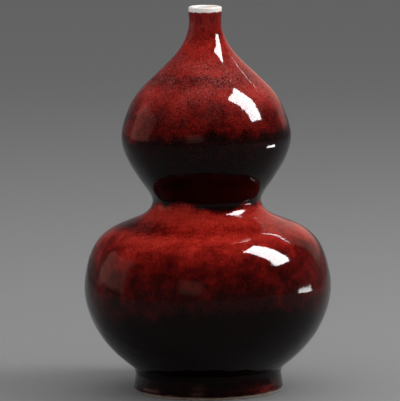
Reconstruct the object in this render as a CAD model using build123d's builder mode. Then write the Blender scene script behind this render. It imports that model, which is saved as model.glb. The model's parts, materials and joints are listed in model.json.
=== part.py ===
from build123d import *
import os

# Double gourd vase: six thrown clay sections, luted together with slip and glazed over.
# Lengths are in millimetres. The vase stands on Z = 0 and everything is turned about Z.
# Sections are drawn flat first, with X as the radius and Y as the height.

os.makedirs("parts", exist_ok=True)

# Outside of the glaze: how far each section rises above the one below it
foot_height = 18.4
bowl_rise = 79.6
shoulder_rise = 80.0
swell_rise = 59.5
crown_rise = 107.5
lip_rise = 15.0

# Outside of the glaze: diameters, and how far the foot and the lip flare
foot_diameter = 135.8
belly_diameter = 231.4
waist_diameter = 101.6
globe_diameter = 158.6
neck_diameter = 30.2
foot_flare = 1.8
foot_flare_height = 5.0
foot_corner_radius = 2.5
lip_flare = 0.7

# The bowl springs from the foot this many degrees flatter than it goes on
spring_lead = 3.0

# The outline between those heights: share of the climb, and share of the change in radius
bowl_shares = [(0.19, 0.34), (0.44, 0.70), (0.72, 0.925)]
shoulder_shares = [(0.25, 0.045), (0.45, 0.13), (0.60, 0.27), (0.72, 0.505), (0.80, 0.75), (0.88, 0.92)]
swell_shares = [(0.10, 0.06), (0.25, 0.27), (0.45, 0.56), (0.72, 0.865)]
crown_shares = [(0.18, 0.058), (0.36, 0.20), (0.52, 0.445), (0.67, 0.71), (0.79, 0.88), (0.90, 0.967)]

# Clay: the wall thins from the globe to the neck
bowl_wall = 6.0
neck_wall = 2.6
floor_thickness = 8.0
floor_sweep = 18.0
recess_depth = 10.0
foot_width = 7.6
foot_edge_radius = 1.5

# Glazes
glaze_thickness = 0.7
glaze_line_height = 3.0
glaze_roll_radius = 1.1
lip_band_height = 5.0
lining_thickness = 0.5
base_glaze_thickness = 0.5
base_glaze_fillet = 1.5

# Luted joints: a stepped edge filled with slip, and a bead that was squeezed out inside
slip_thickness = 1.2
joint_step = 3.0
bead_radius = 1.8

# Height of the two joints between the widest and the narrowest places: share of the rise
shoulder_joint_share = 0.7525
crown_joint_share = 0.519

# How far a cut runs past what it cuts, and how many points carry an inset line
overrun = 2.0
inset_count = 48

# Radii and heights that follow from those
belly_height = foot_height + bowl_rise
waist_height = belly_height + shoulder_rise
globe_height = waist_height + swell_rise
neck_height = globe_height + crown_rise
overall_height = neck_height + lip_rise
foot_radius = foot_diameter / 2
foot_flare_radius = foot_radius + foot_flare
lip_radius = neck_diameter / 2 + lip_flare
floor_top = recess_depth + floor_thickness
recess_radius = foot_flare_radius - glaze_thickness - foot_width
lip_thickness = glaze_thickness + neck_wall + lining_thickness
lip_round_height = overall_height - lip_thickness / 2
lip_band_foot = overall_height - lip_band_height
foot_joint_height = recess_depth + joint_step - 2 * slip_thickness
shoulder_joint_height = belly_height + shoulder_rise * shoulder_joint_share
crown_joint_height = globe_height + crown_rise * crown_joint_share


def between(start, end, shares):
    """Points between two (radius, height) points, at shares of the climb and of the change in radius."""
    radius, height = start
    wider, climb = end[0] - radius, end[1] - height
    return [(radius + wider * wide, height + climb * high) for high, wide in shares]


def clay_depth(height):
    """Thickness of the clay wall at a height: full up to the globe, then thinning up to the neck."""
    climb_share = (height - globe_height) / (neck_height - globe_height)
    climb_share = min(max(climb_share, 0), 1)
    return bowl_wall + (neck_wall - bowl_wall) * climb_share


def inset(line, depth):
    """Points along a line, each moved in, square to it, by the depth at its height."""
    points = []
    for step in range(inset_count + 1):
        point = line @ (step / inset_count)
        inward = (line % (step / inset_count)).rotate(Axis.Z, 90)
        points.append(point + inward * depth(point.Y))
    return points


# Outline of the glazed body, from the hollow corner over the foot up to the lip
upright = Vector(0, 1)
foot = (foot_radius, foot_height)
belly = (belly_diameter / 2, belly_height)
waist = (waist_diameter / 2, waist_height)
globe = (globe_diameter / 2, globe_height)
neck = (neck_diameter / 2, neck_height)
bowl_points = between(foot, belly, bowl_shares)
spring = (Vector(bowl_points[0]) - Vector(foot)).normalized().rotate(Axis.Z, -spring_lead)
with BuildLine() as foot_outline:
    foot_wall = Line((foot_flare_radius, foot_flare_height), foot)
    turn = (foot_wall % 1).get_angle(spring)
    foot_corner = JernArc(foot, foot_wall % 1, foot_corner_radius, -turn)
with BuildLine() as body_outline:
    outside = Spline(
        foot_corner @ 1,
        *bowl_points,
        belly,
        *between(belly, waist, shoulder_shares),
        waist,
        *between(waist, globe, swell_shares),
        globe,
        *between(globe, neck, crown_shares),
        neck,
        (lip_radius, lip_round_height),
        tangents=[spring, upright],
    )

# The clay under the glaze, the hollow in the clay, and the hollow inside the lining
with BuildLine() as clay_outline:
    clay_line = Spline(*inset(outside, lambda height: glaze_thickness), tangents=[spring, upright])


def hollow_line(lining):
    """Outline of the hollow, with this much lining on the clay, from the flat floor's edge to the lip."""
    wall_points = inset(outside, lambda height: glaze_thickness + clay_depth(height) + lining)
    above_sweep = [point for point in wall_points if point.Y > floor_top + floor_sweep]
    floor_edge = (foot_radius - floor_sweep, floor_top + lining)
    return Spline(floor_edge, *above_sweep, tangents=[(1, 0), upright])


with BuildLine() as clay_hollow:
    hollow = hollow_line(0)
with BuildLine() as lined_hollow:
    lined = hollow_line(lining_thickness)

# Whole section of the clay, with sharp edges under the foot
clay_foot_wall = foot_wall.moved(Location((-glaze_thickness, 0)))
foot_plane = Axis(clay_foot_wall @ 1, clay_foot_wall % 1)
clay_corner = foot_plane.intersect(Axis(clay_line @ 0, spring))
clay_foot_radius = (clay_foot_wall @ 0).X
with BuildSketch() as clay:
    with BuildLine():
        add(clay_line)
        ThreePointArc(
            clay_line @ 1,
            ((clay_line @ 1 + hollow @ 1) / 2) + upright * neck_wall / 2,
            hollow @ 1,
        )
        add(hollow)
        Polyline(
            hollow @ 0,
            (0, floor_top),
            (0, recess_depth),
            (recess_radius, recess_depth),
            (recess_radius, 0),
            (clay_foot_radius, 0),
            clay_foot_wall @ 0,
            clay_corner,
            clay_line @ 0,
        )
    make_face()


class Joint:
    """A luted joint: the slip's zigzag through the wall, and the place of its bead in the hollow."""

    def __init__(self, point, up, step, wall):
        out = up.rotate(Axis.Z, -90)
        outer, riser, inner = overrun, -wall / 2, -wall - overrun
        shift = slip_thickness if step > 0 else -slip_thickness
        lower_edge = [(outer, 0), (riser, 0), (riser, step), (inner, step)]
        upper_edge = [(outer, 0), (riser + shift, 0), (riser + shift, step), (inner, step)]
        upper_edge = [(across, along + slip_thickness) for across, along in reversed(upper_edge)]
        self.outline = [point + out * across + up * along for across, along in lower_edge + upper_edge]
        self.bead = point - out * wall + up * (step + slip_thickness / 2)


def wall_joint(height):
    """The joint whose outer edge is at a height of the body's wall."""
    point = clay_line.find_intersection_points(Axis((0, height), (1, 0)))[0]
    return Joint(point, clay_line.tangent_at(point), joint_step, clay_depth(height))


foot_point = Vector(clay_foot_radius, foot_joint_height)
joints = {
    "foot": Joint(foot_point, upright, -joint_step, foot_width),
    "belly": wall_joint(belly_height),
    "shoulder": wall_joint(shoulder_joint_height),
    "waist": wall_joint(waist_height),
    "globe": wall_joint(crown_joint_height),
}
beads = [joint.bead for name, joint in joints.items() if name != "foot"]

# The clay section with the slip taken out falls into six faces, sorted from the foot up
with BuildSketch() as cut_clay:
    add(clay.sketch)
    for joint in joints.values():
        with BuildLine():
            Polyline(*joint.outline, close=True)
        make_face(mode=Mode.SUBTRACT)
clay_faces = cut_clay.faces().sort_by(Axis.Y)
foot_face, bowl_face, shoulder_face, collar_face, globe_face, neck_face = clay_faces

with BuildPart() as foot_ring:
    with BuildSketch(Plane.XZ):
        add(foot_face)
    revolve(axis=Axis.Z)
    fillet(foot_ring.edges().filter_by(GeomType.CIRCLE).group_by(Axis.Z)[0], foot_edge_radius)
foot_ring.part.label = "foot_ring"
export_step(foot_ring.part, "parts/foot_ring.step")

with BuildPart() as lower_bowl:
    with BuildSketch(Plane.XZ):
        add(bowl_face)
    revolve(axis=Axis.Z)
lower_bowl.part.label = "lower_bowl"
export_step(lower_bowl.part, "parts/lower_bowl.step")

with BuildPart() as lower_shoulder:
    with BuildSketch(Plane.XZ):
        add(shoulder_face)
    revolve(axis=Axis.Z)
lower_shoulder.part.label = "lower_shoulder"
export_step(lower_shoulder.part, "parts/lower_shoulder.step")

with BuildPart() as waist_collar:
    with BuildSketch(Plane.XZ):
        add(collar_face)
    revolve(axis=Axis.Z)
waist_collar.part.label = "waist_collar"
export_step(waist_collar.part, "parts/waist_collar.step")

with BuildPart() as upper_globe:
    with BuildSketch(Plane.XZ):
        add(globe_face)
    revolve(axis=Axis.Z)
upper_globe.part.label = "upper_globe"
export_step(upper_globe.part, "parts/upper_globe.step")

with BuildPart() as neck_cone:
    with BuildSketch(Plane.XZ):
        add(neck_face)
    revolve(axis=Axis.Z)
neck_cone.part.label = "neck_cone"
export_step(neck_cone.part, "parts/neck_cone.step")

# Slip seams: the layer in each joint, with its bead in the hollow
for name, joint in joints.items():
    with BuildSketch() as bead:
        if joint.bead in beads:
            with Locations(joint.bead):
                Circle(bead_radius)
            add(clay.sketch, mode=Mode.SUBTRACT)
    with BuildPart() as slip_seam:
        with BuildSketch(Plane.XZ) as slip:
            with BuildLine():
                Polyline(*joint.outline, close=True)
            make_face()
            add(clay.sketch, mode=Mode.INTERSECT)
            add(bead)
        revolve(axis=Axis.Z)
    slip_seam.part.label = f"{name}_slip_seam"
    export_step(slip_seam.part, f"parts/{name}_slip_seam.step")

# Everything that the glazes and the clay fill, less the clay and the beads, leaves the coats
glaze_foot = (foot_flare_radius, glaze_line_height)
with BuildSketch() as coats:
    with BuildLine():
        add(outside)
        ThreePointArc(
            outside @ 1,
            ((outside @ 1 + lined @ 1) / 2) + upright * lip_thickness / 2,
            lined @ 1,
        )
        add(lined)
        Polyline(
            lined @ 0,
            (0, floor_top + lining_thickness),
            (0, floor_top - overrun),
            (recess_radius + overrun, floor_top - overrun),
            (recess_radius + overrun, glaze_line_height),
            glaze_foot,
            foot_wall @ 0,
        )
        add(foot_wall)
        add(foot_corner)
    make_face()
    with Locations((clay_foot_radius, glaze_line_height + glaze_roll_radius)):
        Circle(glaze_roll_radius)
    with Locations(*beads):
        Circle(bead_radius + lining_thickness)
    add(clay.sketch, mode=Mode.SUBTRACT)
    with Locations(*beads):
        Circle(bead_radius, mode=Mode.SUBTRACT)

# Above this line the red has drained off the lip
with BuildSketch() as lip_zone:
    with Locations((0, lip_band_foot)):
        Rectangle(lip_radius + overrun, lip_band_height + overrun, align=(Align.MIN, Align.MIN))
with BuildSketch() as lower_coats:
    add(coats.sketch)
    add(lip_zone.sketch, mode=Mode.SUBTRACT)
lining_face, red_face = lower_coats.faces().sort_by(lambda face: face.bounding_box().max.X)

with BuildPart() as red_glaze_coat:
    with BuildSketch(Plane.XZ):
        add(red_face)
    revolve(axis=Axis.Z)
red_glaze_coat.part.label = "red_glaze_coat"
export_step(red_glaze_coat.part, "parts/red_glaze_coat.step")

with BuildPart() as lip_glaze_band:
    with BuildSketch(Plane.XZ):
        add(coats.sketch)
        add(lip_zone.sketch, mode=Mode.INTERSECT)
    revolve(axis=Axis.Z)
lip_glaze_band.part.label = "lip_glaze_band"
export_step(lip_glaze_band.part, "parts/lip_glaze_band.step")

with BuildPart() as inner_glaze_lining:
    with BuildSketch(Plane.XZ):
        add(lining_face)
    revolve(axis=Axis.Z)
inner_glaze_lining.part.label = "inner_glaze_lining"
export_step(inner_glaze_lining.part, "parts/inner_glaze_lining.step")

# Glaze under the vase: over the recess's roof and down the inside of the foot
glazed_recess_radius = recess_radius - base_glaze_thickness
glazed_recess_roof = recess_depth - base_glaze_thickness
with BuildPart() as base_glaze:
    with BuildSketch(Plane.XZ):
        with BuildLine():
            Polyline(
                (0, recess_depth),
                (recess_radius, recess_depth),
                (recess_radius, glaze_line_height),
                (glazed_recess_radius, glaze_line_height),
                (glazed_recess_radius, glazed_recess_roof),
                (0, glazed_recess_roof),
                close=True,
            )
        make_face()
    revolve(axis=Axis.Z)
    roof_edges = base_glaze.edges().filter_by(GeomType.CIRCLE).filter_by_position(
        Axis.Z, glazed_recess_roof, glazed_recess_roof
    )
    fillet(roof_edges, base_glaze_fillet)
base_glaze.part.label = "base_glaze"
export_step(base_glaze.part, "parts/base_glaze.step")
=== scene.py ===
"""Double gourd vase: a deep red glaze over thrown clay sections, with a drained white lip.

The file is laid out as a Blender add-on and run as a script. Lengths are in metres, in the frame of
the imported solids: the vase stands on Z = 0 and is turned about Z. A section is a line of (radius,
height) points, drawn from the foot up the outside, over the lip and down the inside.
"""

import json
import math
from functools import partial, reduce

import bpy
import numpy as np
from bpy.props import FloatProperty, FloatVectorProperty, IntProperty, PointerProperty
from bpy.types import Operator, Panel, PropertyGroup
from mathutils import Matrix, Vector


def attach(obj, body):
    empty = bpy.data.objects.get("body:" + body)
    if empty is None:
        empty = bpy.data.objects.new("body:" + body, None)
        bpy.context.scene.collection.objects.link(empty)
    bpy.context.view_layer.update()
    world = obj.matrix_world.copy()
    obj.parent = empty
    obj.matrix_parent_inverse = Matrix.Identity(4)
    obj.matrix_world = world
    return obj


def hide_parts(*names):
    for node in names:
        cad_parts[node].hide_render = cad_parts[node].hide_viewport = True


bl_info = {
    "name": "Double Gourd Vase",
    "version": (1, 0, 0),
    "blender": (4, 5, 0),
    "location": "3D View > Sidebar > Vase",
    "description": "Builds the glazes of a double gourd vase round its clay sections",
    "category": "Object",
}

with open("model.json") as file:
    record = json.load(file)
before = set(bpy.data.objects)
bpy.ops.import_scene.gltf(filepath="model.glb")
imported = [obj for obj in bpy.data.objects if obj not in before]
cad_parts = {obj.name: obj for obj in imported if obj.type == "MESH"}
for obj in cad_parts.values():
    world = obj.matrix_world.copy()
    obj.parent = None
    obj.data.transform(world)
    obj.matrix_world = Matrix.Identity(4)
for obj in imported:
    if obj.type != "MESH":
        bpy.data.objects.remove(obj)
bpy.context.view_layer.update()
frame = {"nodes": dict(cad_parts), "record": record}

# The outline between the named heights: share of the climb, and share of the change in radius
BOWL_SHARES = [(0.19, 0.34), (0.44, 0.70), (0.72, 0.925)]
SHOULDER_SHARES = [(0.25, 0.045), (0.45, 0.13), (0.60, 0.27), (0.72, 0.505), (0.80, 0.75), (0.88, 0.92)]
SWELL_SHARES = [(0.10, 0.06), (0.25, 0.27), (0.45, 0.56), (0.72, 0.865)]
CROWN_SHARES = [(0.18, 0.058), (0.36, 0.20), (0.52, 0.445), (0.67, 0.71), (0.79, 0.88), (0.90, 0.967)]

# Where the luted joints lie: share of the shoulder's and of the crown's rise
SHOULDER_JOINT_SHARE = 0.7525
CROWN_JOINT_SHARE = 0.519

# The stepped joint on top of the foot ring: its height, and the height of its step
FOOT_JOINT_HEIGHT = 0.0106
FOOT_JOINT_STEP = 0.0030

# The bowl's start: how far it leans from its first chord
BOWL_LEAN = math.radians(-3)

# The roll of glaze at the foot: how far it turns past level, how far up the coat it reaches, how far its
# lower edge wanders, and the heights of the last points of the coat's hidden back
ROLL_LEAN = math.radians(10)
ROLL_REACH = 0.006
ROLL_WANDER = 0.0007
COAT_BACK_HEIGHTS = (0.0072, 0.0048, 0.0040)

# The edge of the lip's band: how far it wanders, and over what distance the glaze thins there
BAND_WANDER = 0.0005
BAND_FADE = 0.0014

# The short ripples: most of them round the vase, and their shortest and longest length along it
RIPPLE_TURNS = 36
RIPPLE_LENGTHS = (0.011, 0.034)

# A bead of slip inside: how far above its joint its middle lies, how far it keeps its height, and how
# fast it falls
BEAD_RISE = 0.0036
BEAD_CORE = 0.0028
BEAD_FALL = 0.0016

# The glaze under the foot: the curve from its roof to its wall, the width of its rounded edge, and its waves
BASE_FILLET = 0.0032
BASE_EDGE = 0.0005
BASE_WAVES = 0.00006

# The bare foot: distance between its turning marks, and how deep it is worn
TURNING_PITCH = 0.0013
FOOT_WEAR = 0.00008

# Fineness of the turned surfaces: columns round the vase, distances between the rows at each kind of place,
# how far the close rows reach past a corner or a bead, and points on the hollow's and the flats' lines
COLUMNS = 224
LINE_STEP = 0.0001
OUTSIDE_STEP = 0.0014
FOOT_WALL_STEP = 0.0010
CORNER_STEP = 0.0006
CORNER_REACH = 0.006
FINE_STEP = 0.0004
CLAY_STEP = 0.0005
BASE_STEP = 0.003
HIDDEN_STEP = 0.008
HOLLOW_POINTS = 60
FLAT_POINTS = 200
SHARP_ANGLE = math.radians(40)

# The red coat and the lip share one material, which fades from red to white at the band's edge
RED_MATERIAL = "oxblood_glaze"

# How dark the red is at each height, from 0, thin and bright, to 1, nearly black
# Partly how thick the glaze pools, partly painted shade and light: blackest under the bulbs and on the foot
POOLING_AND_SHADE = [
    (0.000, 0.93), (0.020, 1.00), (0.073, 1.00), (0.079, 0.93), (0.085, 0.82), (0.094, 0.78), (0.104, 0.71),
    (0.112, 0.68), (0.127, 0.66), (0.136, 0.49), (0.144, 0.34), (0.149, 0.13), (0.168, 0.11),
    (0.1735, 0.22), (0.1775, 0.50), (0.1812, 1.00), (0.216, 0.99), (0.2405, 0.93), (0.2455, 0.70),
    (0.2525, 0.60), (0.2625, 0.61), (0.270, 0.50), (0.279, 0.35), (0.288, 0.27), (0.304, 0.32),
    (0.322, 0.32), (0.330, 0.22), (0.336, 0.25), (0.344, 0.42), (0.360, 0.44),
]

# The blush where the red thins out on the lip, and the iron specks in the white glaze
BLUSH = (0.96, 0.83, 0.79)
IRON_SPECK = (0.16, 0.09, 0.05)

# The lamps' distances are measured from here, inside the vase
LIGHT_CENTRE = Vector((0, 0, 0.2))


def length(name, description, default):
    """A length that the user can change."""
    return FloatProperty(
        name=name, description=description, default=default, min=0.0, precision=4, unit="LENGTH"
    )


def colour(name, description, default):
    """A colour that the user can change."""
    return FloatVectorProperty(
        name=name, description=description, default=default, size=3, min=0.0, max=1.0, subtype="COLOR"
    )


def power(name, description, default):
    """The power of a lamp."""
    return FloatProperty(name=name, description=description, default=default, min=0.0, unit="POWER")


def level(name, description, default):
    """The strength of a light that comes from far away; at 1 a white surface renders white."""
    return FloatProperty(name=name, description=description, default=default, min=0.0, max=2.0)


class VaseShape(PropertyGroup):
    """Sizes of the vase, over the glaze."""

    foot_height: length("Foot Height", "Height of the hollow corner over the foot", 0.0184)
    bowl_rise: length("Bowl Rise", "From the foot's corner up to the widest place of the lower bulb", 0.0796)
    shoulder_rise: length("Shoulder Rise", "From the lower bulb's widest place up to the waist", 0.0800)
    swell_rise: length("Swell Rise", "From the waist up to the widest place of the upper bulb", 0.0595)
    crown_rise: length("Crown Rise", "From the upper bulb's widest place up to the neck", 0.1075)
    lip_rise: length("Lip Rise", "From the neck's narrowest place up to the top of the lip", 0.0150)
    foot_diameter: length("Foot Diameter", "Across the foot's corner", 0.1358)
    belly_diameter: length("Belly Diameter", "Across the lower bulb", 0.2314)
    waist_diameter: length("Waist Diameter", "Across the pinched waist", 0.1016)
    globe_diameter: length("Globe Diameter", "Across the upper bulb", 0.1586)
    neck_diameter: length("Neck Diameter", "Across the neck's narrowest place", 0.0302)
    foot_flare: length("Foot Flare", "How far the foot's edge stands out past its corner", 0.0018)
    foot_flare_height: length("Foot Flare Height", "Height of the foot's widest place", 0.0050)
    foot_corner_radius: length("Foot Corner Radius", "Rounding of the hollow corner over the foot", 0.0025)
    lip_flare: length("Lip Flare", "How far the lip stands out past the neck", 0.0007)
    bowl_wall: length("Bowl Wall", "Thickness of the clay up to the upper bulb", 0.0060)
    neck_wall: length("Neck Wall", "Thickness of the clay at the neck", 0.0026)
    floor_top: length("Floor Top", "Height of the clay floor inside", 0.0180)
    floor_sweep: length("Floor Sweep", "Size of the curve from the floor into the wall", 0.0180)
    recess_depth: length("Recess Depth", "Depth of the hollow under the foot", 0.0100)
    recess_radius: length("Recess Radius", "Radius of the hollow under the foot", 0.0614)
    glaze_thickness: length("Glaze Thickness", "Thickness of the red coat", 0.0007)
    glaze_line: length("Glaze Line", "Height at which the red coat ends on the foot", 0.0030)
    glaze_roll: length("Glaze Roll", "Radius of the roll in which the red coat ends", 0.0011)
    lip_band: length("Lip Band", "Height of the band that the red has drained from", 0.0050)
    lining_thickness: length("Lining Thickness", "Thickness of the white glaze inside", 0.0005)
    base_glaze_thickness: length("Base Glaze Thickness", "Thickness of the glaze under the foot", 0.0005)
    foot_edge_radius: length("Foot Edge Radius", "Rounding of the foot's bare edges", 0.0015)


class VaseSurface(PropertyGroup):
    """How uneven the hand-thrown and glazed surfaces are."""

    unevenness: length("Unevenness", "Depth of the slow waves of the glaze at the belly", 0.00018)
    ripple: length("Ripple", "Depth of the short ripples of the glaze at the belly", 0.00009)
    throwing_depth: length("Throwing Depth", "Depth of the spiral that the thrower's fingers left", 0.000012)
    throwing_pitch: length("Throwing Pitch", "Distance between the turns of that spiral", 0.0090)
    shoulder_seam_depth: length("Shoulder Seam Depth", "Depth of the dip at the shoulder's joint", 0.00018)
    crown_seam_depth: length("Crown Seam Depth", "Depth of the dip at the crown's joint", 0.00005)
    seam_width: length("Seam Width", "Half width of those dips", 0.0030)
    drained_depth: length("Drained Depth", "How much thinner the glaze is on the lip", 0.00018)
    bead_height: length("Bead Height", "Height of the glazed slip beads inside", 0.00245)
    turning_depth: length("Turning Depth", "Depth of the turning marks on the bare foot", 0.00005)
    seed: IntProperty(name="Seed", description="Picks the pattern of the unevenness", default=7, min=0)


class VaseColours(PropertyGroup):
    """Colours of the glazes, the clay, the floor and the panels."""

    # Flame red partly stands for painted light on the shoulders and the collar
    flame_red: colour("Flame Red", "Thinnest red glaze, on the shoulder and the collar", (0.42, 0.026, 0.016))
    blood_red: colour("Blood Red", "Most of the red glaze", (0.23, 0.0085, 0.006))
    wine_red: colour("Wine Red", "Clouded red glaze", (0.085, 0.003, 0.0022))
    # The two darkest reds also paint the shade under the bulbs and on the foot
    ember: colour("Ember", "Thick glaze at the edge of the pooled places", (0.022, 0.0012, 0.001))
    pooled_and_shaded: colour("Pooled", "Thickest glaze, nearly black", (0.0030, 0.0003, 0.0003))
    # This pink is also painted over the crown as a sheen
    bloom_and_sheen: colour("Bloom", "Pink bloom of fine bubbles in the glaze", (0.40, 0.12, 0.11))
    celadon: colour("Celadon White", "Glaze that the red has drained from", (0.90, 0.92, 0.87))
    porcelain: colour("Porcelain White", "White glaze inside and under the foot", (0.82, 0.82, 0.77))
    clay: colour("Clay", "Bare fired clay", (0.62, 0.50, 0.38))
    iron_flash: colour("Iron Flash", "Burnt clay beside the glaze", (0.060, 0.024, 0.014))
    slip: colour("Slip", "Fired slip in the joints", (0.60, 0.52, 0.42))
    floor: colour("Floor", "The studio floor round the vase", (0.24, 0.24, 0.244))
    # A painted fall-off of light: the floor darkens to this colour far from the vase
    shaded_far_floor: colour("Far Floor", "The studio floor where it runs out into the dusk", (0.15, 0.15, 0.152))
    warm_panel: colour("Warm Panel", "The panels that the glaze mirrors at its sides", (1.0, 0.46, 0.38))


class VaseStudio(PropertyGroup):
    """Lamps and camera of the studio."""

    gloss_power: power("Gloss Power", "The soft box on the right as the glaze mirrors it", 380.0)
    key_power: power("Key Power", "The soft box on the right as it lights the colours", 37.0)
    fill_power: power("Fill Power", "The broad light overhead", 110.0)
    veil_power: power("Veil Power", "The panel behind on the right", 10.0)
    edge_power: power("Edge Power", "The thin bright edge of that panel", 4.2)
    side_power: power("Side Power", "The panel on the left", 8.6)
    front_power: power("Front Power", "The faint panel in front", 4.7)
    card_power: power("Card Power", "The small card low on the right", 0.59)
    sky_level: level("Sky Level", "Light from high up all round", 0.05)
    ambient_level: level("Ambient Level", "Light from all round as it lights the colours", 0.70)
    horizon_level: level("Horizon Level", "Light from the horizon, as pale as the far floor", 0.15)
    camera_distance: length("Camera Distance", "From the vase's axis to the camera, along the floor", 4.68)
    camera_height: length("Camera Height", "Height of the camera", 0.767)
    camera_roll: FloatProperty(
        name="Camera Roll", description="Lean of the camera", default=math.radians(0.54), subtype="ANGLE"
    )
    camera_lens: FloatProperty(
        name="Camera Lens", description="Focal length of the camera", default=453.6, unit="CAMERA"
    )


def between(start, end, shares):
    """Points between two (radius, height) points, at shares of the climb and of the change in radius."""
    (radius, height), (last_radius, last_height) = start, end
    return [
        (radius + (last_radius - radius) * wide, height + (last_height - height) * high)
        for high, wide in shares
    ]


def unit(direction):
    """The same direction, one long."""
    direction = np.asarray(direction, float)
    return direction / np.linalg.norm(direction)


def turned_by(direction, angle):
    """A flat direction turned anticlockwise by an angle."""
    across, up = direction
    return np.array([
        across * math.cos(angle) - up * math.sin(angle),
        across * math.sin(angle) + up * math.cos(angle),
    ])


def arc(centre, radius, first, last):
    """Points round a centre from one angle to another: centre + radius times (cosine, sine)."""
    count = max(4, round(abs(last - first) * radius / LINE_STEP))
    angle = np.linspace(first, last, count)
    return np.column_stack([centre[0] + radius * np.cos(angle), centre[1] + radius * np.sin(angle)])


def flat_line(first, last, height, count):
    """Points from one radius to another, all at one height."""
    return np.column_stack([np.linspace(first, last, count), np.full(count, height)])


def smooth_line(points, start, end):
    """A cubic spline through points, with its two end directions given.

    Each span is the cubic between its two points whose slopes at them are known, taken over the
    span's length. The inner slopes solve the three-term equations that keep the bend unbroken:
    after * slope_before + 2 (before + after) * slope + before * slope_after
    = 3 (after * chord_before + before * chord_after), with chords one long.
    """
    points = np.asarray(points, float)
    span = np.linalg.norm(np.diff(points, axis=0), axis=1)
    chord = np.diff(points, axis=0) / span[:, None]
    count = len(points)
    inner = np.arange(1, count - 1)
    before, after = span[:-1], span[1:]
    system = np.eye(count)
    system[inner, inner - 1] = after
    system[inner, inner] = 2 * (before + after)
    system[inner, inner + 1] = before
    known = np.zeros_like(points)
    known[0], known[-1] = unit(start), unit(end)
    known[inner] = 3 * (after[:, None] * chord[:-1] + before[:, None] * chord[1:])
    slope = np.linalg.solve(system, known)
    knots = np.concatenate([[0], np.cumsum(span)])
    place = np.linspace(0, knots[-1], max(8, round(knots[-1] / LINE_STEP)))
    here = np.clip(np.searchsorted(knots, place, side="right") - 1, 0, count - 2)
    size = span[here][:, None]
    share = ((place - knots[here]) / span[here])[:, None]
    rest = 1 - share
    return (
        points[here] * rest**2 * (1 + 2 * share)
        + points[here + 1] * share**2 * (3 - 2 * share)
        + slope[here] * size * share * rest**2
        - slope[here + 1] * size * share**2 * rest
    )


class Line:
    """A line of (radius, height) points, read by the distance along it."""

    def __init__(self, *parts):
        points = np.vstack(parts)
        keep = np.concatenate([[True], np.linalg.norm(np.diff(points, axis=0), axis=1) > LINE_STEP / 10])
        self.points = points[keep]
        span = np.linalg.norm(np.diff(self.points, axis=0), axis=1)
        self.along = np.concatenate([[0], np.cumsum(span)])
        slope = np.gradient(self.points, self.along, axis=0)
        slope /= np.linalg.norm(slope, axis=1)[:, None]
        self.outward = np.column_stack([slope[:, 1], -slope[:, 0]])

    def at(self, along):
        """Points at these distances along the line, and the directions square to it, out of the wall."""
        place = np.column_stack([np.interp(along, self.along, column) for column in self.points.T])
        out = np.column_stack([np.interp(along, self.along, column) for column in self.outward.T])
        return place, out / np.linalg.norm(out, axis=1)[:, None]

    def at_height(self, height, inside=False):
        """Distance along the line to where it passes a height, on the outside or on the inside."""
        top = np.argmax(self.points[:, 1])
        heights, along = self.points[:, 1], self.along
        if inside:
            return np.interp(height, heights[top:][::-1], along[top:][::-1])
        return np.interp(height, heights[: top + 1], along[: top + 1])


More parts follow.
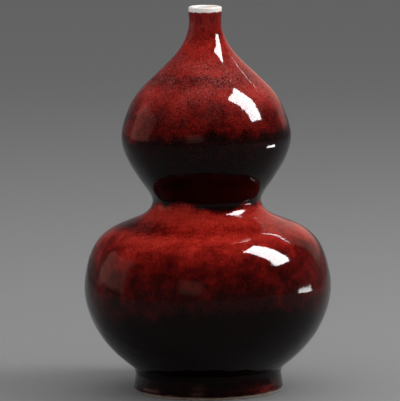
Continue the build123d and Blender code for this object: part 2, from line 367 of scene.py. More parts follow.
class Section:
    """The half section of the vase: its glazed skin, and the named heights on it."""

    def __init__(self, shape):
        self.shape = shape
        self.belly_height = shape.foot_height + shape.bowl_rise
        self.waist_height = self.belly_height + shape.shoulder_rise
        self.globe_height = self.waist_height + shape.swell_rise
        self.neck_height = self.globe_height + shape.crown_rise
        self.top = self.neck_height + shape.lip_rise
        self.foot_radius = shape.foot_diameter / 2
        self.flare_radius = self.foot_radius + shape.foot_flare
        self.clay_foot_radius = self.flare_radius - shape.glaze_thickness
        self.lip_radius = shape.neck_diameter / 2 + shape.lip_flare
        self.lip_thickness = shape.glaze_thickness + shape.neck_wall + shape.lining_thickness
        self.band_height = self.top - shape.lip_band
        self.seams = [
            self.belly_height + shape.shoulder_rise * SHOULDER_JOINT_SHARE,
            self.globe_height + shape.crown_rise * CROWN_JOINT_SHARE,
        ]
        self.joints = [self.belly_height, self.seams[0], self.waist_height, self.seams[1]]
        outside = self.outside()
        inside = self.inside(Line(outside))
        self.skin = Line(outside, self.over_lip(), inside)
        self.band_edge = self.skin.at_height(self.band_height)
        self.inner_band_edge = self.skin.at_height(self.band_height, inside=True)

    def outside(self):
        """The roll of glaze at the foot, the foot's wall and hollow corner, and the body up to the lip."""
        shape = self.shape
        foot = np.array([self.foot_radius, shape.foot_height])
        flare = np.array([self.flare_radius, shape.foot_flare_height])
        up_wall = unit(foot - flare)
        belly = (shape.belly_diameter / 2, self.belly_height)
        waist = (shape.waist_diameter / 2, self.waist_height)
        globe = (shape.globe_diameter / 2, self.globe_height)
        neck = (shape.neck_diameter / 2, self.neck_height)
        bowl = between(foot, belly, BOWL_SHARES)
        spring = turned_by(unit(bowl[0] - foot), BOWL_LEAN)
        roll_centre = (self.clay_foot_radius, shape.glaze_line + shape.glaze_roll)
        roll = arc(roll_centre, shape.glaze_roll, -math.pi / 2, ROLL_LEAN)
        above_roll = flare + up_wall * 2 * shape.glaze_roll
        blend = smooth_line([roll[-1], above_roll], turned_by((0, 1), ROLL_LEAN), up_wall)
        bend = math.acos(up_wall @ spring)
        centre = foot + turned_by(up_wall, -math.pi / 2) * shape.foot_corner_radius
        first = math.atan2(*(foot - centre)[::-1])
        corner = arc(centre, shape.foot_corner_radius, first, first - bend)
        body = smooth_line(
            [
                corner[-1], *bowl, belly,
                *between(belly, waist, SHOULDER_SHARES), waist,
                *between(waist, globe, SWELL_SHARES), globe,
                *between(globe, neck, CROWN_SHARES), neck,
                (self.lip_radius, self.top - self.lip_thickness / 2),
            ],
            spring,
            (0, 1),
        )
        return np.vstack([roll, blend, foot[None, :], corner, body])

    def over_lip(self):
        """The half round of the lip."""
        half = self.lip_thickness / 2
        return arc((self.lip_radius - half, self.top - half), half, 0, math.pi)

    def inside(self, outside):
        """The hollow: the outside moved in by the wall's thickness, then a sweep on to the flat floor."""
        shape = self.shape
        lowest = outside.at_height(shape.foot_height)
        place, out = outside.at(np.linspace(outside.along[-1], lowest, HOLLOW_POINTS))
        thin = np.clip((place[:, 1] - self.globe_height) / shape.crown_rise, 0, 1)
        clay = shape.bowl_wall + (shape.neck_wall - shape.bowl_wall) * thin
        wall = place - out * (shape.glaze_thickness + clay + shape.lining_thickness)[:, None]
        wall = wall[wall[:, 1] > shape.floor_top + shape.floor_sweep]
        floor_height = shape.floor_top + shape.lining_thickness
        floor_edge = (self.foot_radius - shape.floor_sweep, floor_height)
        floor = flat_line(floor_edge[0], 0, floor_height, FLAT_POINTS)
        return np.vstack([smooth_line([*wall, floor_edge], (0, -1), (-1, 0)), floor])

    def relief(self, along, surface):
        """How far the skin stands off its section, as an array over (distance along, angle round).

        It is never above zero, so the vase stays inside its section. It adds up slow waves and short
        ripples, both scaled by the radius, a spiral cosine of distance and angle, a bell-shaped dip at
        each outer seam, 0.4 to 1 times its depth, and the thinner glaze on the lip.
        """
        place, _ = self.skin.at(along)
        along, angle, radius = along[:, None], column_angles(), place[:, :1]
        girth = radius / (self.shape.belly_diameter / 2)
        off = surface.unevenness * girth * (waves(along, angle, surface.seed) - 1)
        ripples = waves(along, angle, surface.seed + 61, RIPPLE_TURNS, RIPPLE_LENGTHS)
        off = off + surface.ripple * girth * (ripples - 1)
        turns = 2 * np.pi * along / surface.throwing_pitch
        off = off + surface.throwing_depth * (np.cos(turns - angle) - 1)
        depths = [surface.shoulder_seam_depth, surface.crown_seam_depth]
        for number, (height, depth) in enumerate(zip(self.seams, depths)):
            strength = 0.7 + 0.3 * waves(0 * along, angle, surface.seed + 11 + number)
            away = (along - self.skin.at_height(height)) / surface.seam_width
            off = off - depth * strength * np.exp(-(away**2))
        edge = self.band_edge + BAND_WANDER * waves(0 * along, 3 * angle, surface.seed + 21)
        thinned = smooth_step((along - edge) / BAND_FADE)
        thickened = smooth_step((along - self.inner_band_edge) / BAND_FADE)
        return off - surface.drained_depth * thinned * (1 - thickened)


def smooth_step(share):
    """0 below -1, 1 above 1, and the smooth S-curve 3x^2 - 2x^3 between."""
    share = np.clip(share / 2 + 0.5, 0, 1)
    return share * share * (3 - 2 * share)


def waves(along, angle, seed, most_turns=17, lengths=(0.026, 0.110)):
    """A sum of 26 cosines of (turns round + turns along + phase), each about a ninth of a unit high.

    Whole turns round keep it unbroken. Its size is about one, and it is held between -1 and 1.
    """
    draw = np.random.default_rng(seed)
    count = 26
    round_turns = draw.integers(0, most_turns, count)
    wave_length = draw.uniform(*lengths, count) * draw.choice([-1, 1], count)
    phase = draw.uniform(0, 2 * np.pi, count)
    turns = round_turns * np.asarray(angle)[..., None] + 2 * np.pi * along[..., None] / wave_length
    return np.clip(np.cos(turns + phase).sum(-1) / 8.5, -1, 1)


def turned_piece(name, section_line, relief=0.0, creep=0.0, closed=True):
    """Makes a mesh by turning a section about Z.

    A surface point is (radius cos angle, radius sin angle, height), where radius and height are the
    section's, moved off it by the relief and up it by the creep. Both are arrays over the section's
    points and the angles. A closed section joins its last point to its first; an open one starts and
    ends on the axis, where a row shrinks to one point.
    """
    place, out = section_line
    angle = column_angles()
    radius = place[:, :1] + out[:, :1] * relief + 0 * angle
    height = place[:, 1:] + out[:, 1:] * relief + creep + 0 * angle
    rows, columns = radius.shape
    points = np.stack([radius * np.cos(angle), radius * np.sin(angle), height], axis=-1)
    number = np.arange(rows * columns).reshape(rows, columns)
    across = np.roll(number, -1, axis=1)
    if closed:
        above, above_across = np.roll(number, -1, axis=0), np.roll(across, -1, axis=0)
        faces = np.stack([number, across, above_across, above], axis=-1).reshape(-1, 4).tolist()
        coordinates = points.reshape(-1, 3)
    else:
        faces = np.stack([number[1:-2], across[1:-2], across[2:-1], number[2:-1]], axis=-1)
        faces = (faces.reshape(-1, 4) - columns + 1).tolist()
        last = (rows - 2) * columns + 1
        first_row, last_row = number[1] - columns + 1, number[-2] - columns + 1
        faces += np.column_stack([0 * first_row, np.roll(first_row, -1), first_row]).tolist()
        faces += np.column_stack([last_row, np.roll(last_row, -1), 0 * last_row + last]).tolist()
        coordinates = np.vstack([points[0, :1], points[1:-1].reshape(-1, 3), points[-1, :1]])
    mesh = bpy.data.meshes.new(name)
    mesh.from_pydata(coordinates.tolist(), [], faces)
    mesh.validate()
    mesh.shade_smooth()
    mesh.set_sharp_from_angle(angle=SHARP_ANGLE)
    piece = bpy.data.objects.new(name, mesh)
    bpy.context.collection.objects.link(piece)
    return piece


def joined(*lines):
    """Several lines, each of points and outward directions, as one."""
    return tuple(np.vstack(part) for part in zip(*lines))


def column_angles():
    """The angles round the vase at which every piece has its columns."""
    return np.linspace(0, 2 * np.pi, COLUMNS, endpoint=False)[None, :]


def steps(first, last, size):
    """Distances from one value to another in about even steps, both ends in."""
    return np.linspace(first, last, max(3, math.ceil(abs(last - first) / size) + 1))


def row_places(start, *spans):
    """Distances over several spans in turn, each given by its end and the size of its steps."""
    parts = []
    for end, size in spans:
        parts.append(steps(start, end, size)[:-1])
        start = end
    return np.concatenate([*parts, [start]])


def backed(relief, line, first=False):
    """A relief with flat rows added for the rest of its line, after it or first."""
    flat = len(line[0]) - len(relief)
    return np.pad(relief, ((flat, 0) if first else (0, flat), (0, 0)))


def finish_piece(piece, material, slot, *nodes):
    """Gives a piece its material and its body, and hides the solids that it stands for. The slot is not used.
    """
    piece.data.materials.append(material)
    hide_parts(*nodes)
    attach(piece, "root")


class Wiring:
    """The node tree of a material, a lamp or the world, wired one node at a time."""

    def __init__(self, owner):
        owner.use_nodes = True
        self.nodes, self.links = owner.node_tree.nodes, owner.node_tree.links

    def add(self, kind, output, inputs=None, **settings):
        """Adds a node, fills its inputs with numbers or links, and returns one of its outputs."""
        node = self.nodes.new("ShaderNode" + kind)
        for setting, value in settings.items():
            setattr(node, setting, value)
        for socket, value in (inputs or {}).items():
            if isinstance(value, bpy.types.NodeSocket):
                self.links.new(value, node.inputs[socket])
            else:
                node.inputs[socket].default_value = value
        return node.outputs[output]

    def band(self, value, low, high, first=0.0, last=1.0):
        """A smooth step from the first to the last number as the value goes from low to high."""
        ends = {"From Min": low, "From Max": high, "To Min": first, "To Max": last}
        return self.add("MapRange", "Result", {"Value": value, **ends}, interpolation_type="SMOOTHSTEP")

    def math(self, operation, first, second):
        """One sum of two numbers or links."""
        return self.add("Math", "Value", {0: first, 1: second}, operation=operation)

    def away(self, value, middle):
        """How far the value is from the middle."""
        return self.math("ABSOLUTE", self.math("SUBTRACT", value, middle), 0.0)

    def left(self, value):
        """What the value leaves of 1."""
        return self.math("SUBTRACT", 1.0, value)

    def total(self, *values):
        """All the values added up."""
        return reduce(partial(self.math, "ADD"), values)

    def product(self, *values):
        """All the values multiplied."""
        return reduce(partial(self.math, "MULTIPLY"), values)


class Finish(Wiring):
    """A procedural material."""

    def __init__(self, name, numbers):
        self.material = bpy.data.materials.new(name)
        super().__init__(self.material)
        self.shader = self.nodes["Principled BSDF"]
        for socket, number in numbers.items():
            self.shader.inputs[socket].default_value = number
        self.place = self.add("TexCoord", "Object")
        self.height = self.add("SeparateXYZ", "Z", {"Vector": self.place})

    def noise(self, size, detail=2.0, roughness=0.5, distortion=0.0, stretch=(1, 1, 1), shift=0.0):
        """Soft noise about 0.5, with features about this size, stretched along X, Y and Z."""
        scale = [1 / (size * factor) for factor in stretch]
        spread = {"Vector": self.place, "Scale": scale, "Location": (shift, shift, shift)}
        kind = {"Scale": 1.0, "Detail": detail, "Roughness": roughness, "Distortion": distortion}
        return self.add("TexNoise", "Fac", {"Vector": self.add("Mapping", "Vector", spread), **kind})

    def ridge(self, value, middle, half_width):
        """1 where the value is at the middle, falling smoothly to 0 at half a width each side."""
        return self.band(self.away(value, middle), 0.0, half_width, 1.0, 0.0)

    def swing(self, value, size):
        """A value about 0.5 turned into one about zero, this big from side to side."""
        return self.product(self.math("SUBTRACT", value, 0.5), size)

    def mix(self, share, first, second):
        """The first colour turning into the second as the share goes from 0 to 1."""
        return self.add("Mix", 2, {0: share, 6: opaque(first), 7: opaque(second)}, data_type="RGBA")

    def tones(self, value, stops):
        """A colour or grey for each value between 0 and 1, from (value, colour) stops."""
        output = self.add("ValToRGB", "Color", {"Fac": value})
        elements = output.node.color_ramp.elements
        while len(elements) < len(stops):
            elements.new(0.5)
        for element, (position, shade) in zip(elements, stops):
            element.position = position
            element.color = opaque(shade)
        return output

    def bump(self, height, distance, strength):
        """Wires a fine relief into the surface, in metres at full strength."""
        normal = self.add("Bump", "Normal", {"Height": height, "Distance": distance, "Strength": strength})
        self.links.new(normal, self.shader.inputs["Normal"])

    def wire(self, socket, value):
        """Joins a link to one of the surface's own sockets."""
        self.links.new(value, self.shader.inputs[socket])


def opaque(shade):
    """A colour with full alpha, from a link, three numbers or one grey number."""
    if isinstance(shade, bpy.types.NodeSocket):
        return shade
    if isinstance(shade, (int, float)):
        return (shade, shade, shade, 1.0)
    return (*shade, 1.0)


def red_glaze_finish(section, colours):
    """The red glaze: a tone for thickness and painted shade, broken by clouds and grains, read off as a
    colour.

    The tone is the glaze's thickness and painted light and shade at this height, which wanders slowly
    and tilts a little to one side, plus slow clouds, fine grains, streaks on the neck, a dark ring at each
    luted joint, deeper on one side as painted shade, and a painted patch of light low on one side of the
    foot. A painted pink sheen, in specks, lies over the crown. Above the ragged edge of the lip's band
    the red has drained away.
    """
    finish = Finish(RED_MATERIAL, {"IOR": 1.24})
    noise, band, ridge, swing = finish.noise, finish.band, finish.ridge, finish.swing
    total, product = finish.total, finish.product
    sideways = finish.add("SeparateXYZ", "X", {"Vector": finish.place})
    backward = finish.add("SeparateXYZ", "Y", {"Vector": finish.place})
    slow = noise(0.050, 2.0, shift=1.0)
    # The reading height wanders and tilts, so the painted shade lies lower on the -X side
    loose_height = total(
        finish.height,
        swing(noise(0.020, 3.0, 0.55), 0.024),
        swing(noise(0.075, 1.0, shift=9.0), 0.034),
        product(sideways, -0.05),
    )
    # How thick the glaze pools at each height, with painted shade under the bulbs and on the foot
    pooling_and_shade = finish.tones(
        finish.math("DIVIDE", loose_height, section.top),
        [(height / section.top, tone) for height, tone in POOLING_AND_SHADE],
    )
    on_neck = band(finish.height, 0.296, 0.330)
    clouds = band(noise(0.024, 3.0, 0.52, 0.4, stretch=(1, 1, 1.1)), 0.36, 0.64)
    mottle = band(noise(0.0080, 3.0, 0.6, 0.3, shift=3.0), 0.30, 0.70)
    grain = noise(0.0017, 3.0, 0.80)
    graininess = product(
        band(loose_height, 0.132, 0.158, 0.55, 1.25), band(finish.height, 0.324, 0.344, 1.0, 0.45)
    )
    streaks = noise(0.0024, 2.0, 0.6, stretch=(1, 1, 9))
    ragged_height = total(finish.height, swing(noise(0.006, 3.0, 0.65), 0.009))
    # Dark joints; the shoulder's one grows deeper towards -X, which paints shade on that side
    dark_joints_and_shade = total(
        product(
            ridge(ragged_height, section.seams[0], 0.0075),
            band(total(slow, product(sideways, -3.0)), 0.38, 0.72, 0.70, 1.55),
        ),
        product(
            ridge(ragged_height, section.seams[1], 0.0095),
            band(total(slow, product(backward, -3.0)), 0.42, 0.68, 0.1, 1.0),
        ),
    )
    # Painted light: the red made brighter low on the foot's +X side, in uneven patches
    painted_foot_light = product(
        band(finish.height, 0.006, 0.018, -0.45, 0.0),
        band(sideways, 0.020, 0.055),
        band(noise(0.0040, 2.0, 0.6, stretch=(3, 3, 1)), 0.40, 0.62, 0.4, 1.0),
    )
    off_neck = finish.left(product(on_neck, 0.75))
    tone = total(
        pooling_and_shade,
        product(swing(clouds, 0.75), pooling_and_shade, finish.left(pooling_and_shade), off_neck),
        product(swing(mottle, 0.13), band(pooling_and_shade, 0.75, 1.0, 1.0, 0.5)),
        product(swing(grain, 1.0), graininess),
        product(on_neck, swing(streaks, 0.45)),
        product(dark_joints_and_shade, 0.30),
        painted_foot_light,
    )
    red = finish.tones(
        tone,
        [
            (0.00, colours.flame_red), (0.30, colours.blood_red), (0.55, colours.wine_red),
            (0.78, colours.ember), (0.98, colours.pooled_and_shaded),
        ],
    )
    # A pink sheen painted over the crown, broken into fine specks, partly fine bubbles in the glaze
    pink_sheen_and_bloom = product(
        band(noise(0.045, 2.0, shift=5.0), 0.36, 0.60, 0.25, 1.0),
        band(loose_height, 0.246, 0.300),
        band(loose_height, 0.316, 0.332, 1.0, 0.25),
        band(noise(0.0017, 3.0, 0.8, shift=7.0), 0.40, 0.70, 0.02, 0.60),
    )
    red = finish.mix(pink_sheen_and_bloom, red, colours.bloom_and_sheen)
    drips = swing(noise(0.0022, 3.0, 0.6, stretch=(1, 1, 2)), 0.0034)
    low, high = section.band_height - 0.0005, section.band_height + 0.0007
    drained = band(total(finish.height, drips), low, high)
    white = finish.mix(band(noise(0.007, 2.0), 0.44, 0.66), BLUSH, colours.celadon)
    finish.wire("Base Color", finish.mix(drained, red, white))
    finish.wire("Roughness", band(noise(0.004, 3.0, 0.6), 0.25, 0.75, 0.035, 0.085))
    finish.bump(total(noise(0.0042, 2.0, 0.5), product(grain, 0.22)), 0.0001, 0.35)
    return finish.material


def white_glaze_finish(name, colours):
    """The white glaze: slightly green where it is thick, with a few dark iron specks."""
    finish = Finish(name, {"IOR": 1.55})
    noise, band = finish.noise, finish.band
    thick = band(noise(0.018, 3.0, 0.5), 0.35, 0.68)
    white = finish.mix(thick, colours.porcelain, colours.celadon)
    specks = finish.add("TexVoronoi", "Distance", {"Vector": finish.place, "Scale": 160.0})
    chosen = finish.product(band(specks, 0.05, 0.10, 1.0, 0.0), band(noise(0.009, 1.0), 0.60, 0.66))
    finish.wire("Base Color", finish.mix(chosen, white, IRON_SPECK))
    finish.wire("Roughness", band(noise(0.005), 0.3, 0.7, 0.07, 0.13))
    finish.bump(noise(0.004, 2.0), 0.0001, 0.3)
    return finish.material


def clay_finish(name, shade, section, colours):
    """Fired clay: a sandy grain, faint turning lines, and a dark iron flash beside the glaze."""
    finish = Finish(name, {"IOR": 1.5, "Specular IOR Level": 0.35})
    noise, band = finish.noise, finish.band
    paler, darker, sandy = ([part * factor for part in shade] for factor in (1.12, 0.78, 0.45))
    body = finish.mix(band(noise(0.012, 4.0, 0.6), 0.3, 0.7), darker, paler)
    body = finish.mix(band(noise(0.0008, 2.0, 0.7), 0.60, 0.72), body, sandy)
    lit = finish.total(finish.height, finish.swing(noise(0.004, 3.0), 0.0016))
    flash = finish.ridge(lit, section.shape.glaze_line, 0.0042)
    finish.wire("Base Color", finish.mix(flash, body, colours.iron_flash))
    finish.wire("Roughness", band(noise(0.003, 3.0), 0.3, 0.7, 0.62, 0.9))
    lines = noise(0.0011, 1.0, stretch=(40, 40, 1))
    finish.bump(finish.total(noise(0.0006, 3.0, 0.7), lines), 0.00015, 0.5)
    return finish.material


class PieceOperator:
    """What the vase's operators share: they can be undone, and they start from the scene's settings."""

    bl_options = {"REGISTER", "UNDO"}

    @staticmethod
    def settings(context):
        """The section drawn from the scene's sizes, and the scene's surface and colours."""
        scene = context.scene
        return Section(scene.vase_shape), scene.vase_surface, scene.vase_colours


class VASE_OT_red_glaze(PieceOperator, Operator):
    """Turn the red glaze coat, from the roll at the foot up to the lip's white band"""

    bl_idname = "vase.red_glaze"
    bl_label = "Red Glaze Coat"

    def execute(self, context):
        section, surface, colours = self.settings(context)
        shape, skin = section.shape, section.skin
        foot_end = skin.at_height(shape.foot_height)
        along = row_places(
            0, (ROLL_REACH, FINE_STEP), (foot_end, FOOT_WALL_STEP), (foot_end + CORNER_REACH, CORNER_STEP),
            (section.band_edge, OUTSIDE_STEP),
        )
        relief = section.relief(along, surface)
        down = ROLL_WANDER * waves(0 * along[:, None], 2 * column_angles(), surface.seed + 31)
        creep = down * (1 - smooth_step((along[:, None] - ROLL_REACH) / ROLL_REACH))
        first_height, *last_heights = COAT_BACK_HEIGHTS
        clay = clay_side(section, section.band_edge, skin.at_height(first_height), HIDDEN_STEP)
        clay_foot = [(section.clay_foot_radius, height) for height in last_heights]
        line = joined(skin.at(along), clay, (clay_foot, [(-1, 0)] * len(clay_foot)))
        piece = turned_piece("outer_red_glaze", line, backed(relief, line), backed(creep, line))
        finish_piece(piece, red_glaze_finish(section, colours), "red_glaze", "red_glaze_coat")
        return {"FINISHED"}


def clay_side(section, first, last, size):
    """The clay's surface under a coat, from one distance to another: the skin moved in by the coat."""
    along = steps(first, last, size)
    place, out = section.skin.at(along)
    shape = section.shape
    share = np.clip((along - section.band_edge) / (section.inner_band_edge - section.band_edge), 0, 1)
    depth = shape.glaze_thickness + (shape.lining_thickness - shape.glaze_thickness) * share
    return place - out * depth[:, None], -out


class VASE_OT_lip_glaze(PieceOperator, Operator):
    """Turn the lip's glaze, which the red has drained from"""

    bl_idname = "vase.lip_glaze"
    bl_label = "Lip Glaze"

    def execute(self, context):
        section, surface, _ = self.settings(context)
        along = steps(section.band_edge, section.inner_band_edge, FINE_STEP)
        relief = section.relief(along, surface)
        clay = clay_side(section, section.inner_band_edge, section.band_edge, 2 * FINE_STEP)
        line = joined(section.skin.at(along), clay)
        piece = turned_piece("drained_lip_glaze", line, backed(relief, line))
        finish_piece(piece, bpy.data.materials[RED_MATERIAL], "white_glaze", "lip_glaze_band")
        return {"FINISHED"}


class VASE_OT_inner_glaze(PieceOperator, Operator):
    """Turn the white glaze inside, which covers the wall, the beads of slip and the floor"""

    bl_idname = "vase.inner_glaze"
    bl_label = "Inner Glaze"

    def execute(self, context):
        section, surface, colours = self.settings(context)
        shape, skin = section.shape, section.skin
        floor_edge = skin.along[-1] - (section.foot_radius - shape.floor_sweep)
        along = row_places(
            section.inner_band_edge, (floor_edge, 2 * OUTSIDE_STEP), (skin.along[-1], HIDDEN_STEP)
        )
        for height in section.joints:
            near = skin.at_height(height, inside=True)
            along = np.union1d(along, steps(near - 2 * CORNER_REACH, near + CORNER_REACH, CORNER_STEP))
        relief = section.relief(along, surface)
        for height in section.joints:
            relief = relief + surface.bead_height * self.bead(section, height, along)[:, None]
        place, out = skin.at(along)
        place[-1, 0] = 0.0
        clay = clay_side(section, floor_edge, section.inner_band_edge, HIDDEN_STEP)
        centre = ([(0.0, shape.floor_top)], [(0, -1)])
        line = joined(centre, clay, (place, out))
        relief = backed(relief * (place[:, :1] > 0), line, first=True)
        piece = turned_piece("inner_white_glaze", line, relief, closed=False)
        finish_piece(piece, white_glaze_finish("inner_white", colours), "white_glaze", "inner_glaze_lining")
        return {"FINISHED"}

    @staticmethod
    def bead(section, height, along):
        """Where the bead of slip above a joint lies: 1 over it, falling to 0 about 4 mm each side."""
        outer, outer_out = section.skin.at(np.array([section.skin.at_height(height)]))
        rise = np.array([-outer_out[0, 1], outer_out[0, 0]])
        top = section.shape.glaze_thickness + section.shape.bowl_wall
        middle = outer[0] - outer_out[0] * top + rise * BEAD_RISE
        place, _ = section.skin.at(along)
        away = np.linalg.norm(place - middle, axis=1)
        return 1 - smooth_step((away - BEAD_CORE) / BEAD_FALL)


class VASE_OT_base_glaze(PieceOperator, Operator):
    """Turn the white glaze in the hollow under the foot"""

    bl_idname = "vase.base_glaze"
    bl_label = "Base Glaze"

    def execute(self, context):
        section, surface, colours = self.settings(context)
        shape = section.shape
        inner = shape.recess_radius - shape.base_glaze_thickness
        roof = shape.recess_depth - shape.base_glaze_thickness
        start, edge = inner - BASE_FILLET, shape.glaze_line
        line = Line(
            flat_line(0, start, roof, 2 * FLAT_POINTS),
            arc((start, roof - BASE_FILLET), BASE_FILLET, math.pi / 2, 0),
            [(inner, edge + BASE_EDGE)],
            arc((inner + BASE_EDGE / 2, edge + BASE_EDGE), BASE_EDGE / 2, math.pi, 2 * math.pi),
        )
        along = row_places(0, (start, BASE_STEP), (line.along[-1], FINE_STEP))
        place, out = line.at(along)
        place[0, 0] = 0.0
        uneven = waves(along[:, None], column_angles(), surface.seed + 41) - 1
        # The cube calms the waves at the middle, where the columns meet
        relief = -BASE_WAVES * uneven * (place[:, :1] / inner) ** 3
        wall, top = shape.recess_radius, shape.recess_depth
        back = ([(wall, edge + 2 * BASE_EDGE), (wall, top), (0, top)], [(1, 0), (1, 0), (0, 1)])
        line = joined((place, out), back)
        piece = turned_piece("underfoot_white_glaze", line, backed(relief, line), closed=False)
        finish_piece(piece, white_glaze_finish("underfoot_white", colours), "white_glaze", "base_glaze")
        return {"FINISHED"}


class VASE_OT_foot_clay(PieceOperator, Operator):
    """Turn the bare clay foot that the vase stands on"""

    bl_idname = "vase.foot_clay"
    bl_label = "Foot Clay"

    def execute(self, context):
        section, surface, colours = self.settings(context)
        shape = section.shape
        outer, inner, edge = section.clay_foot_radius, shape.recess_radius, shape.foot_edge_radius
        joint, step = FOOT_JOINT_HEIGHT, FOOT_JOINT_STEP
        middle = outer - (outer - inner) / 2
        lean = shape.foot_flare / (shape.foot_height - shape.foot_flare_height)
        shoulder = outer - lean * (joint - shape.foot_flare_height)
        line = Line(
            [(inner, joint - step)],
            arc((inner + edge, edge), edge, math.pi, 1.5 * math.pi),
            arc((outer - edge, edge), edge, -0.5 * math.pi, 0),
            [(outer, shape.foot_flare_height), (shoulder, joint), (middle, joint), (middle, joint - step)],
        )
        along = steps(0, line.along[-1], CLAY_STEP)
        place, out = line.at(along)
        angle = column_angles()
        marks = surface.turning_depth * (np.cos(2 * np.pi * along[:, None] / TURNING_PITCH - angle) - 1)
        worn = FOOT_WEAR * (waves(0 * along[:, None], angle, surface.seed + 51) - 1)
        relief = (marks + worn) * (place[:, 1:] < joint - step - CLAY_STEP)
        piece = turned_piece("turned_foot_clay", (place, out), relief)
        material = clay_finish("bare_clay", colours.clay, section, colours)
        finish_piece(piece, material, "fired_clay", "foot_ring")
        return {"FINISHED"}


class VASE_OT_clay_sections(PieceOperator, Operator):
    """Give the thrown clay sections and the slip between them their clay"""

    bl_idname = "vase.clay_sections"
    bl_label = "Clay Sections"

    def execute(self, context):
        section, _, colours = self.settings(context)
        materials = {
            "fired_clay": clay_finish("thrown_clay", colours.clay, section, colours),
            "slip": clay_finish("joint_slip", colours.slip, section, colours),
        }
        for row in frame["record"]["subparts"]:
            solid = frame["nodes"][row["node"]]
            if solid.hide_render or row["material_slot"] not in materials:
                continue
            solid.data.materials.clear()
            solid.data.materials.append(materials[row["material_slot"]])
        return {"FINISHED"}


def area_lamp(
    name, direction, distance, sizes, power, upright=(0, 0, 1), faces=None,
    soft=0.0, spread=math.pi, hidden_from="", shade=(1, 1, 1),
):
    """A rectangular lamp this far from the vase's middle in a direction, its second side along the upright.

    It faces the vase, or lies square to the direction that it is given. A soft share of each half
    fades out towards the edge. It can be hidden from the glossy or the diffuse light, so that
    mirrored and lit strength are set apart, and it can be tinted by a shade.
    """
    data = bpy.data.lights.new(name, "AREA")
    data.shape = "RECTANGLE"
    data.size, data.size_y = sizes
    data.energy = power
    data.color = shade
    data.spread = spread
    if soft:
        fade_edges(data, soft)
    lamp = bpy.data.objects.new(name, data)
    back = Vector(faces or direction).normalized()
    along = (Vector(upright) - Vector(upright).project(back)).normalized()
    place = LIGHT_CENTRE + Vector(direction).normalized() * distance
    turn = Matrix((along.cross(back), along, back)).transposed().to_4x4()
    lamp.matrix_world = Matrix.Translation(place) @ turn
    lamp.visible_camera = False
    lamp.visible_glossy = hidden_from != "glossy"
    lamp.visible_diffuse = hidden_from != "diffuse"
    bpy.context.collection.objects.link(lamp)


def fade_edges(data, soft):
    """Fades a lamp smoothly to nothing over this share of its half width and half height."""
    lamp = Wiring(data)
    place = {"Vector": lamp.add("NewGeometry", "Parametric")}
    aways = [lamp.away(lamp.add("SeparateXYZ", axis, place), 0.5) for axis in "XY"]
    fades = [lamp.band(away, 0.5 - soft / 2, 0.5, 1.0, 0.0) for away in aways]
    lamp.links.new(lamp.product(*fades), lamp.nodes["Emission"].inputs["Strength"])


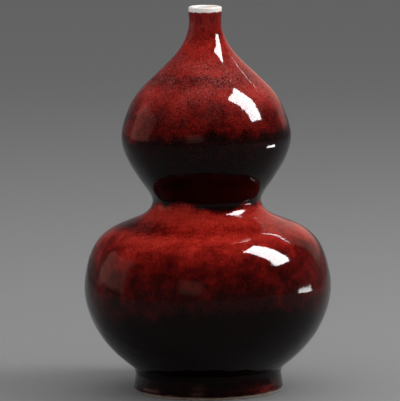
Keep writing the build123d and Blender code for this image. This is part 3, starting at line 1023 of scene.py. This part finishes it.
class VASE_OT_studio(PieceOperator, Operator):
    """Set up the floor, the lamps, the light from all round and the camera"""

    bl_idname = "vase.studio"
    bl_label = "Studio"

    def execute(self, context):
        scene = context.scene
        studio = scene.vase_studio
        self.floor(scene.vase_colours)
        mirrored, lit = {"hidden_from": "diffuse"}, {"hidden_from": "glossy"}
        warm = {"shade": scene.vase_colours.warm_panel, **mirrored}
        # The two soft boxes lie 30 mm apart, since lamps in one plane take each other's light on the floor
        towards, sizes = (0.7413, -0.1141, 0.6633), (0.97, 1.88)
        leaning = {"upright": (-0.861, 0.12, 0.493), "faces": (0.507, 0.159, 0.847)}
        area_lamp("soft_box_gloss", towards, 2.514, sizes, studio.gloss_power, **leaning, **mirrored)
        area_lamp("soft_box_light", towards, 2.484, sizes, studio.key_power, **leaning, **lit)
        area_lamp("overhead_fill", (0, 0.02, 1), 6.0, (10.0, 10.0), studio.fill_power, (0, 1, 0), **lit)
        behind, edge = (0.42, 0.84, 0.36), (0.345, 0.691, 0.634)
        area_lamp("veil_panel", behind, 2.4, (2.3, 1.8), studio.veil_power, soft=0.35, **warm)
        area_lamp(
            "veil_edge", edge, 2.53, (1.9, 0.020), studio.edge_power, faces=behind, soft=0.3, **mirrored
        )
        area_lamp("side_panel", (-0.92, 0.20, 0.22), 2.2, (1.9, 1.4), studio.side_power, soft=0.35, **warm)
        area_lamp("front_panel", (-0.27, -0.94, 0.17), 3.0, (1.6, 1.0), studio.front_power, soft=0.6, **warm)
        area_lamp(
            "low_card", (1, 0.08, -0.19), 0.60, (0.17, 0.05), studio.card_power,
            faces=(1, 0.08, -0.9), spread=math.radians(100), **mirrored,
        )
        scene.world = self.surroundings(studio)
        self.camera(scene, studio)
        scene.view_settings.view_transform = "Standard"
        return {"FINISHED"}

    @staticmethod
    def surroundings(studio):
        """Light from all round, which lights the colours evenly.

        It is mirrored as pale as the far floor at the horizon, and dim high up.
        """
        dusk_height = 0.4
        world = bpy.data.worlds.new("studio_light")
        sky = Wiring(world)
        height = sky.add("SeparateXYZ", "Z", {"Vector": sky.add("TexCoord", "Generated")})
        seen = sky.band(height, 0.0, dusk_height, studio.horizon_level, studio.sky_level)
        lights_colours = sky.add("LightPath", "Is Diffuse Ray")
        strength = sky.add("Mix", 0, {0: lights_colours, 2: seen, 3: studio.ambient_level})
        background = sky.nodes["Background"]
        background.inputs["Color"].default_value = (1.0, 1.0, 1.0, 1.0)
        sky.links.new(strength, background.inputs["Strength"])
        return world

    @staticmethod
    def floor(colours):
        """A wide level floor under the vase, painted darker evenly as it runs away from it, as a fall-off of
        light.
        """
        reach, near, far = 5.6, 0.25, 3.2
        mesh = bpy.data.meshes.new("studio_floor")
        corners = [(-reach, -reach, 0), (reach, -reach, 0), (reach, reach, 0), (-reach, reach, 0)]
        mesh.from_pydata(corners, [], [(0, 1, 2, 3)])
        finish = Finish("studio_floor", {"Roughness": 0.8, "Specular IOR Level": 0.0})
        away = finish.add("VectorMath", "Value", {0: finish.place}, operation="LENGTH")
        # Painted fall-off of light: darker with distance from the vase
        finish.wire("Base Color", finish.mix(finish.band(away, near, far), colours.floor, colours.shaded_far_floor))
        mesh.materials.append(finish.material)
        floor = bpy.data.objects.new("studio_floor", mesh)
        bpy.context.collection.objects.link(floor)

    @staticmethod
    def camera(scene, studio):
        """The camera at the photograph's angle: in front and a little above, leaning slightly."""
        data = bpy.data.cameras.new("camera")
        data.lens = studio.camera_lens
        camera = bpy.data.objects.new("camera", data)
        place = Vector((0, -studio.camera_distance, studio.camera_height))
        aim = Vector((-0.00635, 0, 0.1779))
        turn = (aim - place).to_track_quat("-Z", "Y").to_matrix().to_4x4()
        camera.matrix_world = Matrix.Translation(place) @ turn @ Matrix.Rotation(-studio.camera_roll, 4, "Z")
        bpy.context.collection.objects.link(camera)
        scene.camera = camera


class VASE_PT_panel(Panel):
    """The vase's panel in the sidebar: its pieces, then its sizes and colours"""

    bl_label = "Double Gourd Vase"
    bl_space_type = "VIEW_3D"
    bl_region_type = "UI"
    bl_category = "Vase"

    def draw(self, context):
        pieces = self.layout.column(align=True)
        for operator in OPERATORS:
            pieces.operator(operator.bl_idname)
        for name, group in GROUPS.items():
            box = self.layout.box()
            box.label(text=name.replace("_", " ").title())
            for value in group.__annotations__:
                box.prop(getattr(context.scene, name), value)


GROUPS = {
    "vase_shape": VaseShape,
    "vase_surface": VaseSurface,
    "vase_colours": VaseColours,
    "vase_studio": VaseStudio,
}
OPERATORS = [
    VASE_OT_red_glaze,
    VASE_OT_lip_glaze,
    VASE_OT_inner_glaze,
    VASE_OT_base_glaze,
    VASE_OT_foot_clay,
    VASE_OT_clay_sections,
    VASE_OT_studio,
]
CLASSES = [*GROUPS.values(), *OPERATORS, VASE_PT_panel]


def register():
    """Adds the property groups, the operators and the panel to Blender."""
    for kind in CLASSES:
        bpy.utils.register_class(kind)
    for name, group in GROUPS.items():
        setattr(bpy.types.Scene, name, PointerProperty(type=group))


def unregister():
    """Takes them out again."""
    for name in GROUPS:
        delattr(bpy.types.Scene, name)
    for kind in reversed(CLASSES):
        bpy.utils.unregister_class(kind)


def main():
    """Builds the vase and its studio."""
    register()
    for operator in OPERATORS:
        family, name = operator.bl_idname.split(".")
        getattr(getattr(bpy.ops, family), name)()


if __name__ == "__main__":
    main()
